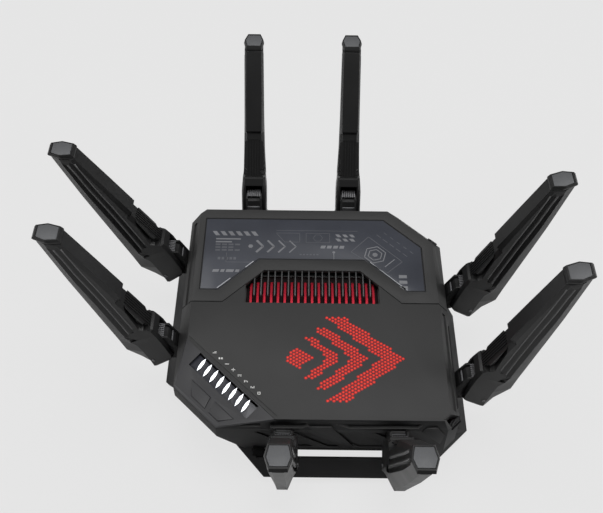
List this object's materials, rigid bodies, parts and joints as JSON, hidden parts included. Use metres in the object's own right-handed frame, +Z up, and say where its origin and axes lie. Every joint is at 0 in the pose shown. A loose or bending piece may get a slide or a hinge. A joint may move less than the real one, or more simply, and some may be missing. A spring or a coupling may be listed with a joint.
{
  "type": "wireless router",
  "caption": "Low eight-sided wireless router on a flared stand, with hinged blade antennas in pairs around its sides, a smoked rear panel, a louvred heat sink and a lit control corner.",
  "frame": {"origin": "on the surface that the feet stand on, under the middle of the whole outline with the antennas as they stand at rest", "axes": "+Z up, the front of the router with the control corner on its left faces -Y, +X to the right of someone facing the front"},
  "size_m": [0.431, 0.4604, 0.2133],
  "materials": {
    "black_plastic": "fine satin texture",
    "deck_plastic": "matt, fine grained",
    "antenna_plastic": "satin",
    "cap_metal": "brushed across the end",
    "smoked_acrylic": "clear smoked acrylic with grey back printing",
    "red_aluminium": "red anodised",
    "white_light": "lit white",
    "red_light": "lit red",
    "pin_steel": "ground",
    "can_steel": "tinned",
    "circuit_board": "solder mask",
    "port_metal": "nickel plated",
    "foot_rubber": "matt"
  },
  "bodies": {
    "housing": {"lower_housing": "black_plastic", "stand_front_right": "black_plastic", "stand_rear_left": "black_plastic", "bottom_tray": "black_plastic", "foot_front_left": "foot_rubber", "foot_front_right": "foot_rubber", "foot_rear_right": "foot_rubber", "foot_rear_left": "foot_rubber", "front_deck": "deck_plastic", "rear_cover": "deck_plastic", "rear_panel": "smoked_acrylic", "louvre_grille": "black_plastic", "heat_sink": "red_aluminium", "light_guide": "white_light", "key_board": "circuit_board", "control_panel": "black_plastic", "main_board": "circuit_board", "shield_can": "can_steel", "lan_jacks": "port_metal", "wan_jacks": "port_metal", "usb_socket": "port_metal", "dc_inlet": "black_plastic", "deck_diffuser": "red_light", "hinge_bracket_front_left": "black_plastic", "hinge_pin_front_left": "pin_steel", "hinge_bracket_front_right": "black_plastic", "hinge_pin_front_right": "pin_steel", "hinge_bracket_right_front": "black_plastic", "hinge_pin_right_front": "pin_steel", "hinge_bracket_right_rear": "black_plastic", "hinge_pin_right_rear": "pin_steel", "hinge_bracket_rear_right": "black_plastic", "hinge_pin_rear_right": "pin_steel", "hinge_bracket_rear_left": "black_plastic", "hinge_pin_rear_left": "pin_steel", "hinge_bracket_left_rear": "black_plastic", "hinge_pin_left_rear": "pin_steel", "hinge_bracket_left_front": "black_plastic", "hinge_pin_left_front": "pin_steel"},
    "antenna_front_left": {"antenna_blade_front_left": "antenna_plastic", "antenna_cap_front_left": "cap_metal"},
    "antenna_front_right": {"antenna_blade_front_right": "antenna_plastic", "antenna_cap_front_right": "cap_metal"},
    "antenna_right_front": {"antenna_blade_right_front": "antenna_plastic", "antenna_cap_right_front": "cap_metal"},
    "antenna_right_rear": {"antenna_blade_right_rear": "antenna_plastic", "antenna_cap_right_rear": "cap_metal"},
    "antenna_rear_right": {"antenna_blade_rear_right": "antenna_plastic", "antenna_cap_rear_right": "cap_metal"},
    "antenna_rear_left": {"antenna_blade_rear_left": "antenna_plastic", "antenna_cap_rear_left": "cap_metal"},
    "antenna_left_rear": {"antenna_blade_left_rear": "antenna_plastic", "antenna_cap_left_rear": "cap_metal"},
    "antenna_left_front": {"antenna_blade_left_front": "antenna_plastic", "antenna_cap_left_front": "cap_metal"},
    "mode_key": {"mode_key": "black_plastic"},
    "link_key": {"link_key": "black_plastic"},
    "round_key": {"round_key": "black_plastic"},
    "power_button": {"power_button": "black_plastic"},
    "reset_button": {"reset_button": "black_plastic"}
  },
  "joints": [
    {"name": "antenna_front_left_tilt", "type": "hinge", "parent": "housing", "child": "antenna_front_left", "pos_m": [-0.01626, -0.1391, 0.067], "axis": [1, 0, 0], "range_deg": [-29, 9]},
    {"name": "antenna_front_right_tilt", "type": "hinge", "parent": "housing", "child": "antenna_front_right", "pos_m": [0.07534, -0.1391, 0.067], "axis": [1, 0, 0], "range_deg": [-29, 9]},
    {"name": "antenna_right_front_tilt", "type": "hinge", "parent": "housing", "child": "antenna_right_front", "pos_m": [0.14254, -0.0731, 0.067], "axis": [0, 1, 0], "range_deg": [-19.5, 18.5]},
    {"name": "antenna_right_rear_tilt", "type": "hinge", "parent": "housing", "child": "antenna_right_rear", "pos_m": [0.14254, 0.0213, 0.067], "axis": [0, 1, 0], "range_deg": [-21.5, 16.5]},
    {"name": "antenna_rear_right_tilt", "type": "hinge", "parent": "housing", "child": "antenna_rear_right", "pos_m": [0.04144, 0.1279, 0.067], "axis": [-1, 0, 0], "range_deg": [-34, 4]},
    {"name": "antenna_rear_left_tilt", "type": "hinge", "parent": "housing", "child": "antenna_rear_left", "pos_m": [-0.05016, 0.1279, 0.067], "axis": [-1, 0, 0], "range_deg": [-34, 4]},
    {"name": "antenna_left_rear_tilt", "type": "hinge", "parent": "housing", "child": "antenna_left_rear", "pos_m": [-0.12446, 0.0586, 0.067], "axis": [0, -1, 0], "range_deg": [-29, 9]},
    {"name": "antenna_left_front_tilt", "type": "hinge", "parent": "housing", "child": "antenna_left_front", "pos_m": [-0.12446, -0.0358, 0.067], "axis": [0, -1, 0], "range_deg": [-26, 12]},
    {"name": "mode_key_press", "type": "slide", "parent": "housing", "child": "mode_key", "axis": [0.18, 0.18, -0.967], "range_m": [0, 0.0012], "stiffness_N_per_m": 350},
    {"name": "link_key_press", "type": "slide", "parent": "housing", "child": "link_key", "axis": [0.18, 0.18, -0.967], "range_m": [0, 0.0012], "stiffness_N_per_m": 350},
    {"name": "round_key_press", "type": "slide", "parent": "housing", "child": "round_key", "axis": [-0.5446, -0.5446, -0.6378], "range_m": [0, 0.0012], "stiffness_N_per_m": 350},
    {"name": "power_button_press", "type": "slide", "parent": "housing", "child": "power_button", "axis": [-0.7071, -0.7071, 0], "range_m": [0, 0.0015], "stiffness_N_per_m": 350},
    {"name": "reset_button_press", "type": "slide", "parent": "housing", "child": "reset_button", "axis": [-0.7071, -0.7071, 0], "range_m": [0, 0.001], "stiffness_N_per_m": 350}
  ]
}
